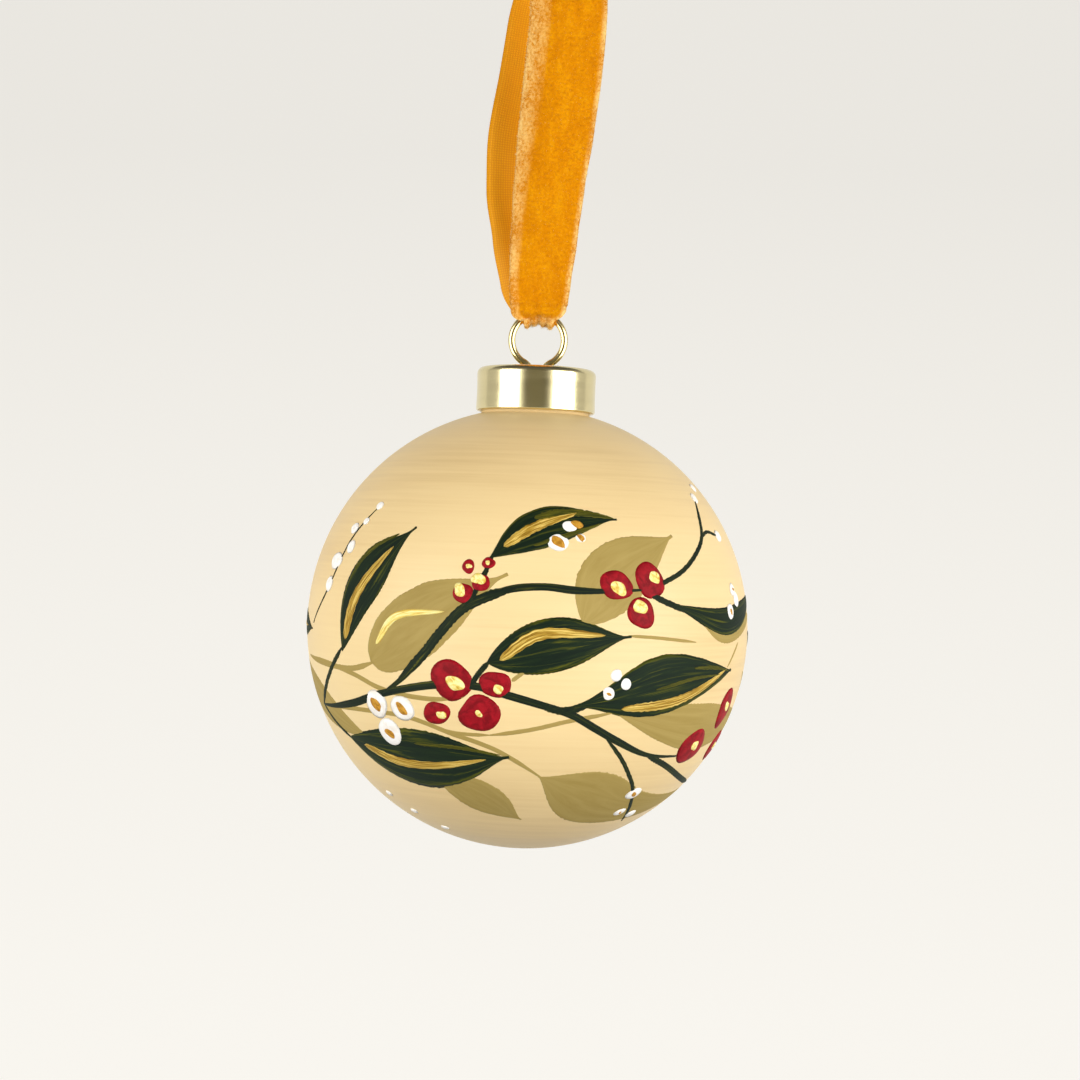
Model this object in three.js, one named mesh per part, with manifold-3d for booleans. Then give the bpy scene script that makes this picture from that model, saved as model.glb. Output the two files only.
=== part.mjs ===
// Glass ball ornament: a blown, hand-painted glass ball hung by its brass cap and sprung wire hanger
// from a loop of velvet ribbon. Millimetres, +Z up. The origin is the hang point, under the ribbon's
// knot at the inside top of the loop, and every other height is worked down from it.
import * as THREE from 'three';
import { mergeVertices } from 'three/addons/utils/BufferGeometryUtils.js';
import Module from 'manifold-3d';

// ---------------------------------------------------------------- driving dimensions
const BALL_R = 40;               // outside radius of the blown ball
const GLASS = 0.8;               // wall of the ball and its neck
const NECK_R = 9.8;              // outside radius of the neck under the cap
const SHOULDER_R = 0.5;          // small fillet where the neck leaves the ball
const CAP_R = 10.85;             // outside radius of the drawn cap
const CAP_H = 8;                 // height of the cap
const CAP_WALL = 0.5;            // sheet the cap is drawn from
const CAP_EDGE_R = 1.2;          // rounded top edge of the cap
const HEM_H = 0.9;               // turned-in hem at the cap's mouth
const CAP_TO_CENTRE = 39.2;      // mouth of the cap down to the ball's centre
const WIRE_R = 0.65;             // hanger wire
const LOOP_R = 4.8;              // hanger loop, centre line
const LOOP_LIFT = 5.3;           // cap's top up to the loop's centre
const SHANK_X = 1.4;             // half distance between the two shanks
const SHANK_DEPTH = 1.8;         // how far the shanks reach below the cap's top
const LEG_DEPTH = 24;            // how far the sprung legs reach below the cap's top
const LEG_SPREAD = 12.2;         // how far the legs stand out from the axis
const RIBBON_W = 15.6;           // velvet ribbon, full width
const RIBBON_T = 1.2;            // its thickness with the pile
const DROP = 76;                 // hang point down to the hanger loop's centre
const GAP = 0.3;                 // clearance where two pieces touch

// heights worked out from them
const LOOP_Z = -DROP;
const CAP_TOP = LOOP_Z - LOOP_LIFT;
const CAP_MOUTH = CAP_TOP - CAP_H;
const BALL_Z = CAP_MOUTH - CAP_TO_CENTRE;

const wasm = await Module();
wasm.setup();

const COLOURS = {
  glass: { color: 0xf6dcab, roughness: 0.45, metalness: 0 },
  brass: { color: 0xd8c27a, roughness: 0.18, metalness: 1 },
  velvet: { color: 0xe08c08, roughness: 0.95, metalness: 0 },
};

function piece(name, geometry, finish) {
  const mesh = new THREE.Mesh(geometry, new THREE.MeshStandardMaterial(COLOURS[finish]));
  mesh.name = name;
  return mesh;
}

// ---------------------------------------------------------------- shape helpers
// A profile of (radius, height) points turned about the Z axis.
function turned(profile, sides) {
  const points = profile.map(([r, z]) => new THREE.Vector2(r, z));
  return new THREE.LatheGeometry(points, sides).rotateX(Math.PI / 2);
}

// Points on a circular arc in the (radius, height) plane, from one angle to the other, in radians.
function arc(centreR, centreZ, radius, from, to, steps) {
  return Array.from({ length: steps + 1 }, (_, i) => {
    const angle = from + ((to - from) * i) / steps;
    return [centreR + radius * Math.cos(angle), centreZ + radius * Math.sin(angle)];
  });
}

// Round wire along a smooth line through the points.
function wire(points, steps) {
  const section = new THREE.Shape().absarc(0, 0, WIRE_R, 0, 2 * Math.PI, false);
  const extrudePath = new THREE.CatmullRomCurve3(points, false, 'centripetal');
  return new THREE.ExtrudeGeometry(section, { steps, curveSegments: 5, bevelEnabled: false, extrudePath });
}

function solidOf(geometry) {
  const bare = geometry.clone();
  bare.deleteAttribute('normal');
  bare.deleteAttribute('uv');
  const merged = mergeVertices(bare, 1e-4);
  const vertProperties = new Float32Array(merged.attributes.position.array);
  const triVerts = new Uint32Array(merged.index.array);
  return new wasm.Manifold(new wasm.Mesh({ numProp: 3, vertProperties, triVerts }));
}

function geometryOf(solid) {
  const mesh = solid.getMesh();
  const geometry = new THREE.BufferGeometry();
  geometry.setAttribute('position', new THREE.BufferAttribute(mesh.vertProperties, 3));
  geometry.setIndex(new THREE.BufferAttribute(mesh.triVerts, 1));
  return geometry;
}

// ---------------------------------------------------------------- the blown glass ball
// One shell: outside from the bottom pole over the shoulder and up the neck, round the cut rim, and
// back down inside. The neck stops just short of the cap's underside.
function glassBall() {
  const inside = BALL_R - GLASS;
  const neckInside = NECK_R - GLASS;
  const rimZ = CAP_TOP - CAP_WALL - GAP;
  const filletR = NECK_R + SHOULDER_R;
  const filletZ = BALL_Z + Math.sqrt((BALL_R + SHOULDER_R) ** 2 - filletR ** 2);
  const shoulder = Math.atan2(filletZ - BALL_Z, filletR);
  const insideTop = Math.acos(neckInside / inside);
  const profile = [
    [0, BALL_Z - BALL_R],
    ...arc(0, BALL_Z, BALL_R, -Math.PI / 2, shoulder, 34).slice(1),
    ...arc(filletR, filletZ, SHOULDER_R, shoulder + Math.PI, Math.PI, 3).slice(1),
    ...arc((NECK_R + neckInside) / 2, rimZ - GLASS / 2, GLASS / 2, 0, Math.PI, 4),
    ...arc(0, BALL_Z, inside, insideTop, -Math.PI / 2, 22).slice(0, -1),
    [0, BALL_Z - inside],
  ];
  return turned(profile, 48);
}

// ---------------------------------------------------------------- the drawn brass cap
// A shallow drawn cup, mouth down, with a rounded edge and a turned-in hem, pierced for the hanger's
// two shanks.
function capShell() {
  const inner = CAP_R - CAP_WALL;
  const hemR = CAP_WALL * 0.75;
  const cornerR = CAP_R - CAP_EDGE_R;
  const cornerZ = CAP_TOP - CAP_EDGE_R;
  const profile = [
    ...arc(CAP_R - hemR, CAP_MOUTH + hemR, hemR, -Math.PI, 0, 6),
    ...arc(cornerR, cornerZ, CAP_EDGE_R, 0, Math.PI / 2, 6),
    [0, CAP_TOP],
    [0, CAP_TOP - CAP_WALL],
    ...arc(cornerR, cornerZ, CAP_EDGE_R - CAP_WALL, Math.PI / 2, 0, 5),
    [inner, CAP_MOUTH + HEM_H],
    [CAP_R - 2 * hemR, CAP_MOUTH + HEM_H - 0.2],
  ];
  profile.push(profile[0]);
  let cap = solidOf(turned(profile, 48));
  for (const side of [-1, 1]) {
    const drill = new THREE.CylinderGeometry(WIRE_R + GAP, WIRE_R + GAP, 4, 20).rotateX(Math.PI / 2);
    cap = cap.subtract(solidOf(drill.translate(side * SHANK_X, 0, CAP_TOP)));
  }
  return geometryOf(cap);
}

// ---------------------------------------------------------------- the sprung wire hanger
// One length of wire on the real ornament. The loop stands above the cap, its shanks drop through the
// two holes, and the legs below them splay inside the ball and grip the neck. A leg is a node of its
// own because it bends inwards as the cap is drawn out.
function hangerLoop() {
  const foot = 0.62;   // angle, each side of straight down, where the round of the loop begins
  const round = Array.from({ length: 25 }, (_, i) => {
    const angle = -Math.PI / 2 - foot - ((2 * Math.PI - 2 * foot) * i) / 24;
    return new THREE.Vector3(LOOP_R * Math.cos(angle), 0, LOOP_Z + LOOP_R * Math.sin(angle));
  });
  const shank = (side) => [
    new THREE.Vector3(side * SHANK_X, 0, CAP_TOP - SHANK_DEPTH),
    new THREE.Vector3(side * SHANK_X, 0, CAP_TOP - SHANK_DEPTH / 2),
    new THREE.Vector3(side * (SHANK_X + 0.1), 0, CAP_TOP + 0.25),
  ];
  return wire([...shank(-1), ...round, ...shank(1).reverse()], 64);
}

function springLeg(side) {
  const top = CAP_TOP - SHANK_DEPTH - GAP;
  const run = LEG_DEPTH - SHANK_DEPTH - GAP;
  const at = (out, down) => new THREE.Vector3(
    side * (SHANK_X + (LEG_SPREAD - SHANK_X) * out), 0, top - run * down);
  return wire([at(0, 0), at(0.1, 0.14), at(0.36, 0.4), at(0.72, 0.7), at(0.95, 0.9), at(1, 0.97), at(0.97, 1)], 22);
}

// ---------------------------------------------------------------- the velvet ribbon
// A band lofted through stations {at, width, curl}: curl is the curvature across the band, in 1/mm.
// Positive, it lifts the edges away from the inside of the loop, as where the band is gathered in the
// hanger; negative, it turns them back, as where the band hangs free.
function band(stations, steps, thickness) {
  const path = new THREE.CatmullRomCurve3(stations.map((s) => s.at), false, 'centripetal');
  const across = 6;
  const positions = [];
  for (let i = 0; i <= steps; i += 1) {
    const u = (i / steps) * (stations.length - 1);
    const k = Math.min(Math.floor(u), stations.length - 2);
    const f = u - k;
    const width = THREE.MathUtils.lerp(stations[k].width, stations[k + 1].width, f);
    const curl = THREE.MathUtils.lerp(stations[k].curl, stations[k + 1].curl, f) + 1e-6;
    const centre = path.getPoint(i / steps);
    const tangent = path.getTangent(i / steps);
    const side = new THREE.Vector3(1, 0, 0).addScaledVector(tangent, -tangent.x).normalize();
    const out = new THREE.Vector3().crossVectors(tangent, side);
    for (const face of [-1, 1]) {
      for (let j = 0; j <= across; j += 1) {
        const angle = -face * (j / across - 0.5) * width * curl;
        const radius = 1 / curl - (face * thickness) / 2;
        const point = centre.clone().addScaledVector(side, radius * Math.sin(angle));
        point.addScaledVector(out, 1 / curl - radius * Math.cos(angle));
        positions.push(point.x, point.y, point.z);
      }
    }
  }
  return ringsToGeometry(positions, 2 * (across + 1), steps);
}

// Closed rings of points, one after the other, skinned and closed with a flat fan at each end.
function ringsToGeometry(positions, ring, steps) {
  const index = [];
  for (let i = 0; i < steps; i += 1) {
    for (let j = 0; j < ring; j += 1) {
      const a = i * ring + j;
      const b = i * ring + ((j + 1) % ring);
      index.push(a, b, a + ring, b, b + ring, a + ring);
    }
  }
  for (let j = 0; j < ring / 2 - 1; j += 1) {
    const last = steps * ring;
    index.push(j, ring - 1 - j, j + 1, j + 1, ring - 1 - j, ring - 2 - j);
    index.push(last + j, last + j + 1, last + ring - 1 - j);
    index.push(last + j + 1, last + ring - 2 - j, last + ring - 1 - j);
  }
  const geometry = new THREE.BufferGeometry();
  geometry.setAttribute('position', new THREE.Float32BufferAttribute(positions, 3));
  geometry.setIndex(index);
  return geometry;
}

const V = (x, y, z) => new THREE.Vector3(x, y, z);

// The loop: down the front from under the knot, through the hanger from front to back, and up again.
function ribbonLoop() {
  const wireZ = LOOP_Z + LOOP_R;
  const wrap = WIRE_R + GAP + RIBBON_T / 2;
  const under = (angle, width, curl) => (
    { at: V(0, -wrap * Math.sin(angle), wireZ - wrap * Math.cos(angle)), width, curl });
  const front = [
    { at: V(2, -1.6, 2.2), width: 9, curl: 0.12 },
    { at: V(2.4, -5.6, -2.5), width: 12, curl: 0.03 },
    { at: V(3, -7, -10), width: 13.8, curl: -0.02 },
    { at: V(3.4, -6.6, -18), width: 14.4, curl: -0.06 },
    { at: V(2.8, -5.6, -28), width: 15, curl: -0.08 },
    { at: V(1.95, -4.6, -38), width: 14.6, curl: -0.08 },
    { at: V(1.05, -3.6, -48), width: 13.4, curl: -0.07 },
    { at: V(0.45, -2.8, -57), width: 12.4, curl: -0.05 },
    { at: V(0, -2.2, -65), width: 11.3, curl: 0.02 },
    { at: V(-0.1, -wrap - 0.15, wireZ + 1.4), width: 9.8, curl: 0.12 },
  ];
  const bight = [under(1.3, 7.2, 0.22), under(0.65, 5.8, 0.28), under(0, 5.2, 0.308), under(-0.65, 5.8, 0.28),
    under(-1.3, 7.2, 0.22)];
  const back = [
    { at: V(-0.3, wrap + 0.15, wireZ + 1.4), width: 9.8, curl: 0.12 },
    { at: V(-1.6, 2.2, -65), width: 11.6, curl: 0.04 },
    { at: V(-2.7, 2.8, -57), width: 12.8, curl: -0.02 },
    { at: V(-3.6, 3.6, -48), width: 14, curl: -0.03 },
    { at: V(-3.2, 4.6, -38), width: 14.8, curl: -0.03 },
    { at: V(-1.6, 5.6, -28), width: 15.2, curl: -0.04 },
    { at: V(-0.5, 6.6, -18), width: 14.8, curl: -0.03 },
    { at: V(0.6, 7, -10), width: 14, curl: -0.02 },
    { at: V(1.5, 5.6, -2.5), width: 12, curl: 0.03 },
    { at: V(2, 1.6, 2.2), width: 9, curl: 0.12 },
  ];
  return band([...front, ...bight, ...back], 88, RIBBON_T);
}

// The overhand knot drawn tight over the loop, and the two cut tails that stand out of it.
const KNOT = { at: [2, 0, 7.4], half: [7.4, 5, 4.8] };

function ribbonKnot() {
  return new THREE.SphereGeometry(1, 20, 14).scale(...KNOT.half).rotateY(0.2).translate(...KNOT.at);
}

function ribbonTail(side) {
  const [x, , z] = KNOT.at;
  return band([
    { at: V(x + side * 0.8, side * 1, z + KNOT.half[2] + 5 * GAP), width: 7, curl: 0.04 },
    { at: V(x + side * 3.2, side * 2.2, z + 10), width: 12, curl: 0.06 },
    { at: V(x + side * 7.4, side * 4.6, z + 15), width: 15, curl: 0.03 },
    { at: V(x + side * 10.5, side * 7.6, z + 21), width: RIBBON_W, curl: 0.02 },
  ], 14, RIBBON_T);
}

// ---------------------------------------------------------------- the assembly
const ornament = new THREE.Group();

const ribbon = new THREE.Group();
ribbon.add(piece('ribbon_loop', ribbonLoop(), 'velvet'));
ribbon.add(piece('ribbon_knot', ribbonKnot(), 'velvet'));
ribbon.add(piece('ribbon_tail_front', ribbonTail(-1), 'velvet'));
ribbon.add(piece('ribbon_tail_back', ribbonTail(1), 'velvet'));

const cap = new THREE.Group();
cap.add(piece('cap_shell', capShell(), 'brass'));
cap.add(piece('hanger_loop', hangerLoop(), 'brass'));
cap.add(piece('spring_leg_left', springLeg(-1), 'brass'));
cap.add(piece('spring_leg_right', springLeg(1), 'brass'));

ornament.add(ribbon, cap, piece('glass_ball', glassBall(), 'glass'));

export default ornament;
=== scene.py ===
import math
import random

import bpy
from mathutils import Matrix, Vector


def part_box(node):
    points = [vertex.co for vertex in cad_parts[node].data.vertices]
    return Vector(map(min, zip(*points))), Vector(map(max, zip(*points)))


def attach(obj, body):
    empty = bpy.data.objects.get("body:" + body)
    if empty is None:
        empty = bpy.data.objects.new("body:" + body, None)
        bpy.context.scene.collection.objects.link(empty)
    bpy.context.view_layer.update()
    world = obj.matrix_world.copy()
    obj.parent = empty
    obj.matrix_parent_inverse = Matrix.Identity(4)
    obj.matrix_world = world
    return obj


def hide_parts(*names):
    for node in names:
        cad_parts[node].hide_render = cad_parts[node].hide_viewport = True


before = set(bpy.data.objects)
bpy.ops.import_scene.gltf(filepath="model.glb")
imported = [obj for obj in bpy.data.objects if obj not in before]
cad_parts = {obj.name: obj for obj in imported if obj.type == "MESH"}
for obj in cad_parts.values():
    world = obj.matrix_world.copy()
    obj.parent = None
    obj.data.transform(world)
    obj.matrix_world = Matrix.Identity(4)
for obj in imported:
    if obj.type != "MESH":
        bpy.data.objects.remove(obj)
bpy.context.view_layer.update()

# ----------------------------------------------------------------------
# The studio. The ornament hangs level; the camera stands a little above the middle of the ball and
# is tipped by two degrees. The floor is a pale sweep, and two tall soft boxes stand either side of
# the camera with a dark gap between them, which is what the polished cap mirrors.
# ----------------------------------------------------------------------
MM = 0.001
scene = bpy.context.scene
scene.view_settings.view_transform = "Standard"

ball_low, ball_high = (Vector(corner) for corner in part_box("glass_ball"))
BALL_R = round((ball_high.x - ball_low.x) / 2, 4)
BALL = Vector((0, 0, ball_low.z + BALL_R))
CAMERA_PLACE = Vector((1.7 * MM, -0.38, 16 * MM))   # from the middle of the ball
CAMERA_TIP = math.radians(2.1)
CAMERA_LENS = 69.3
SOFT_BOX_TALL = 0.8
SOFT_BOX_UP = 0.02
SOFT_BOX_COLOUR = (1, 0.98, 0.95)
FLOOR_DROP = 0.30
FLOOR_NEAR = -3.6
FLOOR_FAR = 1.1
FLOOR_HALF = 5.0
SWEEP_R = 0.9
WALL_TOP = 3.4
GLOW_FADES_OVER = 0.75
GLOW_LEFT = 0.84
GAP_BACK = -0.95
GAP_HALF_WIDE = 0.42
GAP_HALF_TALL = 0.9
AIR_COLOUR = (0.86, 0.845, 0.80, 1)
FILL_COLOUR = (1, 0.97, 0.92, 1)
FILL_LEVEL = 0.12                                   # the fill is strongest at this height in the sky


def add_camera():
    """A camera in front of the ornament, level but for its tip."""
    camera = bpy.data.cameras.new("studio_camera")
    camera.lens = CAMERA_LENS
    camera.sensor_width = 36
    camera.clip_start = 0.01
    seat = bpy.data.objects.new("studio_camera", camera)
    place = Matrix.Translation(BALL + CAMERA_PLACE)
    seat.matrix_world = place @ Matrix.Rotation(math.pi / 2, 4, "X") @ Matrix.Rotation(CAMERA_TIP, 4, "Z")
    scene.collection.objects.link(seat)
    scene.camera = seat


def add_soft_box(name, azimuth, away, wide, watts):
    """A tall soft box at an azimuth from the camera's side, turned to face the ball."""
    light = bpy.data.lights.new(name, "AREA")
    light.shape = "RECTANGLE"
    light.size = wide
    light.size_y = SOFT_BOX_TALL
    light.energy = watts
    light.color = SOFT_BOX_COLOUR
    box = bpy.data.objects.new(name, light)
    angle = math.radians(azimuth)
    box.location = BALL + Vector((away * math.sin(angle), -away * math.cos(angle), SOFT_BOX_UP))
    box.rotation_euler = (BALL - box.location).to_track_quat("-Z", "Y").to_euler()
    scene.collection.objects.link(box)


def node(tree, kind, **inputs):
    """A new node with its unlinked inputs set; spaces in input names are written as underscores."""
    made = tree.nodes.new(kind)
    for key, value in inputs.items():
        made.inputs[key.replace("_", " ")].default_value = value
    return made


def maths(tree, operation, second=0.5):
    """A new Math node; second is its second input, where nothing is joined to that."""
    made = tree.nodes.new("ShaderNodeMath")
    made.operation = operation
    made.inputs[1].default_value = second
    return made


def join(tree, *joins):
    """Joins nodes up. Each join is a node, its output, the next node and its input."""
    for start, output, end, entry in joins:
        tree.links.new(start.outputs[output], end.inputs[entry])


def plain(name, colour, roughness, **inputs):
    """A new material with one Principled shader."""
    material = bpy.data.materials.new(name)
    material.use_nodes = True
    shader = material.node_tree.nodes["Principled BSDF"]
    shader.inputs["Base Color"].default_value = (*colour, 1)
    shader.inputs["Roughness"].default_value = roughness
    for key, value in inputs.items():
        shader.inputs[key.replace("_", " ")].default_value = value
    return material, material.node_tree, shader


def floor_paper(low):
    """Pale paper that glows a little, less so up the wall."""
    paper, tree, shader = plain("studio_floor_paper", (0.30, 0.295, 0.28), 0.9,
                                Emission_Color=(0.81, 0.79, 0.745, 1))
    coord = node(tree, "ShaderNodeTexCoord")
    height = node(tree, "ShaderNodeSeparateXYZ")
    glow = node(tree, "ShaderNodeMapRange", From_Min=low, From_Max=low + GLOW_FADES_OVER,
                To_Min=1.0, To_Max=GLOW_LEFT)
    join(tree,
         (coord, "Object", height, 0),
         (height, "Z", glow, "Value"),
         (glow, 0, shader, "Emission Strength"))
    return paper


def add_floor():
    """A flat floor that sweeps up into a back wall far behind the ornament."""
    low = BALL.z - FLOOR_DROP
    line = [(FLOOR_NEAR, low), (FLOOR_FAR, low)]
    line += [(FLOOR_FAR + SWEEP_R * math.sin(a), low + SWEEP_R * (1 - math.cos(a)))
             for a in (math.radians(5 * k) for k in range(1, 19))]
    line.append((FLOOR_FAR + SWEEP_R, WALL_TOP))
    mesh = bpy.data.meshes.new("studio_floor")
    points = [(x, y, z) for y, z in line for x in (-FLOOR_HALF, FLOOR_HALF)]
    faces = [(2 * k, 2 * k + 1, 2 * k + 3, 2 * k + 2) for k in range(len(line) - 1)]
    mesh.from_pydata(points, [], faces)
    mesh.shade_smooth()
    mesh.materials.append(floor_paper(low))
    floor = bpy.data.objects.new("studio_floor", mesh)
    floor.visible_diffuse = False
    scene.collection.objects.link(floor)


def add_dark_gap():
    """An unlit card behind the camera, seen only in reflections."""
    mesh = bpy.data.meshes.new("studio_gap")
    corners = [(x * GAP_HALF_WIDE, GAP_BACK, z * GAP_HALF_TALL)
               for x, z in ((-1, -1), (1, -1), (1, 1), (-1, 1))]
    mesh.from_pydata(corners, [], [(0, 1, 2, 3)])
    mesh.materials.append(plain("studio_gap_cloth", (0.25, 0.23, 0.15), 1)[0])
    card = bpy.data.objects.new("studio_gap", mesh)
    card.visible_camera = False
    card.visible_diffuse = False
    card.visible_shadow = False
    scene.collection.objects.link(card)


def set_world():
    """Pale air to the eye, and a gentle fill that is weaker from straight above and below."""
    world = bpy.data.worlds.new("studio_air")
    scene.world = world
    world.use_nodes = True
    tree = world.node_tree
    tree.nodes.clear()
    out = node(tree, "ShaderNodeOutputWorld")
    seen = node(tree, "ShaderNodeBackground", Color=AIR_COLOUR)
    fill = node(tree, "ShaderNodeBackground", Color=FILL_COLOUR)
    path = node(tree, "ShaderNodeLightPath")
    mix = node(tree, "ShaderNodeMixShader")
    coord = node(tree, "ShaderNodeTexCoord")
    split = node(tree, "ShaderNodeSeparateXYZ")
    level = maths(tree, "SUBTRACT", FILL_LEVEL)
    size = maths(tree, "ABSOLUTE")
    weaken = node(tree, "ShaderNodeMapRange", From_Min=0, From_Max=0.7, To_Min=0.60, To_Max=0.10)
    join(tree,
         (coord, "Generated", split, 0),
         (split, "Z", level, 0),
         (level, 0, size, 0),
         (size, 0, weaken, "Value"),
         (weaken, 0, fill, "Strength"),
         (path, "Is Camera Ray", mix, 0),
         (fill, 0, mix, 1),
         (seen, 0, mix, 2),
         (mix, 0, out, "Surface"))


add_camera()
add_soft_box("soft_box_right", 56, 0.75, 0.66, 7.2)
add_soft_box("soft_box_left", -53, 0.80, 0.60, 6.4)
add_floor()
add_dark_gap()
set_world()


# ----------------------------------------------------------------------
# The ball. Blown glass with an open neck, sprayed inside and out and brushed outside with a matte
# cream lacquer while it turned, which left fine level brush lines round it.
# ----------------------------------------------------------------------
GLASS_WALL = 0.8 * MM
NECK_R = 9.8 * MM
SHOULDER_R = 0.5 * MM
BALL_SIDES = 224
RIM_Z = ball_high.z


def add_piece(name, mesh, material, body):
    """Puts a finished mesh in the scene as a piece that rides on a body."""
    mesh.materials.append(material)
    mesh.shade_smooth()
    piece = bpy.data.objects.new(name, mesh)
    scene.collection.objects.link(piece)
    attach(piece, body)
    return piece


def turn_profile(name, profile, sides, closed=False):
    """Revolves (radius, height) points about the Z axis; points on the axis close as poles. A closed
    profile's last ring is joined back to its first."""
    points, rings = [], []
    for radius, z in profile:
        if radius < 1e-7:
            rings.append([len(points)])
            points.append((0, 0, z))
            continue
        rings.append(list(range(len(points), len(points) + sides)))
        points += [(radius * math.cos(a), radius * math.sin(a), z)
                   for a in (2 * math.pi * k / sides for k in range(sides))]
    faces = []
    if closed:
        rings.append(rings[0])
    for low, high in zip(rings, rings[1:]):
        for k in range(sides):
            n = (k + 1) % sides
            corners = [low[k % len(low)], low[n % len(low)], high[n % len(high)], high[k % len(high)]]
            if len(set(corners)) > 2:
                faces.append(list(dict.fromkeys(corners)))
    mesh = bpy.data.meshes.new(name)
    mesh.from_pydata(points, [], faces)
    return mesh


def arc(centre_r, centre_z, radius, start, end, steps):
    """(radius, height) points on an arc, angles in degrees."""
    angles = (math.radians(start + (end - start) * k / steps) for k in range(steps + 1))
    return [(centre_r + radius * math.cos(a), centre_z + radius * math.sin(a)) for a in angles]


def ball_profile():
    """(radius, height) points up the outside of the glass, over the neck's rim and down the inside."""
    fillet_r = NECK_R + SHOULDER_R
    fillet_z = BALL.z + math.sqrt((BALL_R + SHOULDER_R) ** 2 - fillet_r ** 2)
    shoulder = math.degrees(math.atan2(fillet_z - BALL.z, fillet_r))
    inside = BALL_R - GLASS_WALL
    neck_inside = NECK_R - GLASS_WALL
    inside_top = math.degrees(math.acos(neck_inside / inside))
    outside = arc(0, BALL.z, BALL_R, -90, shoulder, 150)
    outside[0] = (0, BALL.z - BALL_R)
    neck = arc(fillet_r, fillet_z, SHOULDER_R, shoulder + 180, 180, 6)[1:]
    rim = arc((NECK_R + neck_inside) / 2, RIM_Z - GLASS_WALL / 2, GLASS_WALL / 2, 0, 180, 8)
    back_down = arc(0, BALL.z, inside, inside_top, -90, 60)
    back_down[-1] = (0, BALL.z - inside)
    return outside + neck + rim + back_down


def ramp_node(tree, stops):
    """A new Color Ramp node with (place, colour) stops."""
    made = tree.nodes.new("ShaderNodeValToRGB")
    while len(made.color_ramp.elements) < len(stops):
        made.color_ramp.elements.new(0.5)
    for element, (place, colour) in zip(made.color_ramp.elements, stops):
        element.position = place
        element.color = (*colour, 1)
    return made


def lacquer_material():
    """Matte cream lacquer with fine level brush lines in its colour, its gloss and its surface."""
    material, tree, shader = plain("cream_lacquer", (0.9, 0.76, 0.52), 0.42, Specular_IOR_Level=0.30)
    coord = node(tree, "ShaderNodeTexCoord")
    level = node(tree, "ShaderNodeMapping", Scale=(34, 34, 1500))
    lines = node(tree, "ShaderNodeTexNoise", Scale=1.0, Detail=5, Roughness=0.6)
    broad_place = node(tree, "ShaderNodeMapping", Scale=(14, 14, 60))
    broad = node(tree, "ShaderNodeTexNoise", Scale=1.0, Detail=3, Roughness=0.5)
    colour = ramp_node(tree, [(0.34, (0.76, 0.555, 0.265)), (0.5, (0.84, 0.635, 0.32)),
                              (0.66, (0.87, 0.675, 0.35))])
    mix = maths(tree, "MULTIPLY_ADD", 0.62)
    half = maths(tree, "MULTIPLY", 0.38)
    rough = node(tree, "ShaderNodeMapRange", From_Min=0.3, From_Max=0.7, To_Min=0.36, To_Max=0.48)
    bump = node(tree, "ShaderNodeBump", Strength=0.10, Distance=0.00006)
    join(tree,
         (coord, "Object", level, 0),
         (coord, "Object", broad_place, 0),
         (level, 0, lines, "Vector"),
         (broad_place, 0, broad, "Vector"),
         (lines, "Fac", half, 0),
         (broad, "Fac", mix, 0),
         (half, 0, mix, 2),
         (mix, 0, colour, 0),
         (colour, 0, shader, "Base Color"),
         (lines, "Fac", rough, "Value"),
         (rough, 0, shader, "Roughness"),
         (lines, "Fac", bump, "Height"),
         (bump, 0, shader, "Normal"))
    return material


ball = add_piece("blown_ball", turn_profile("blown_ball", ball_profile(), BALL_SIDES), lacquer_material(),
                 "ball")
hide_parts("glass_ball")


# ----------------------------------------------------------------------
# The painted garland. Flat brush work in artist's acrylic, laid over the lacquer in this order: tan
# shadow leaves, dark green stems and leaves, gold strokes, then berries dabbed on thick. It runs
# right round the ball. Places are (longitude, latitude) in degrees, with the front at 0, 0.
# ----------------------------------------------------------------------
STROKE_ACROSS = 10
SUNK = -0.03          # mm, how far a stroke's edge and back lie under the lacquer's surface


def facing(lon, lat):
    """The way a place on the ball faces; longitude and latitude in degrees."""
    a, b = math.radians(lon), math.radians(lat)
    return Vector((math.cos(b) * math.sin(a), -math.cos(b) * math.cos(a), math.sin(b)))


def between(a, b, c, d, t):
    """The point a share t of the way from b to c, on the smooth curve through a, b, c and d."""
    return 0.5 * (2 * b + (c - a) * t + (2 * a - 5 * b + 4 * c - d) * t * t
                  + (3 * b - a - 3 * c + d) * t ** 3)


def smooth_line(places, steps):
    """Points along a smooth line through (longitude, latitude) places, on a ball of radius 1."""
    knots = [facing(*place) for place in places]
    knots = [2 * knots[0] - knots[1], *knots, 2 * knots[-1] - knots[-2]]
    spans = len(knots) - 3
    line = []
    for i in range(steps + 1):
        at = spans * i / steps
        k = min(int(at), spans - 1)
        t = at - k
        line.append(between(*knots[k:k + 4], t).normalized())
    return line


def leaf_outline(fullest, base=0.95, tip=1.5):
    """Half width of a leaf along its length, as a share of its fullest. Base and tip say how pinched
    its two ends are: under 1 is round, over 1 is drawn out."""
    bend = math.log(0.5) / math.log(fullest)

    def half(t):
        ease = max(0, (t - fullest) / (1 - fullest))
        power = base + (tip - base) * ease * ease * (3 - 2 * ease)
        return max(max(0, math.sin(math.pi * t ** bend)) ** power, 0.05 if t > 0.5 else 0)
    return half


def even_outline(t):
    """A stem: nearly even, thinner at its two ends."""
    return min(1, 0.35 + 5 * t, 0.30 + 4 * (1 - t))


def sliver_outline(t):
    """One press and lift of the brush, blunt where it starts."""
    return max(0, math.sin(math.pi * t ** 0.72)) ** 0.55


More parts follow.
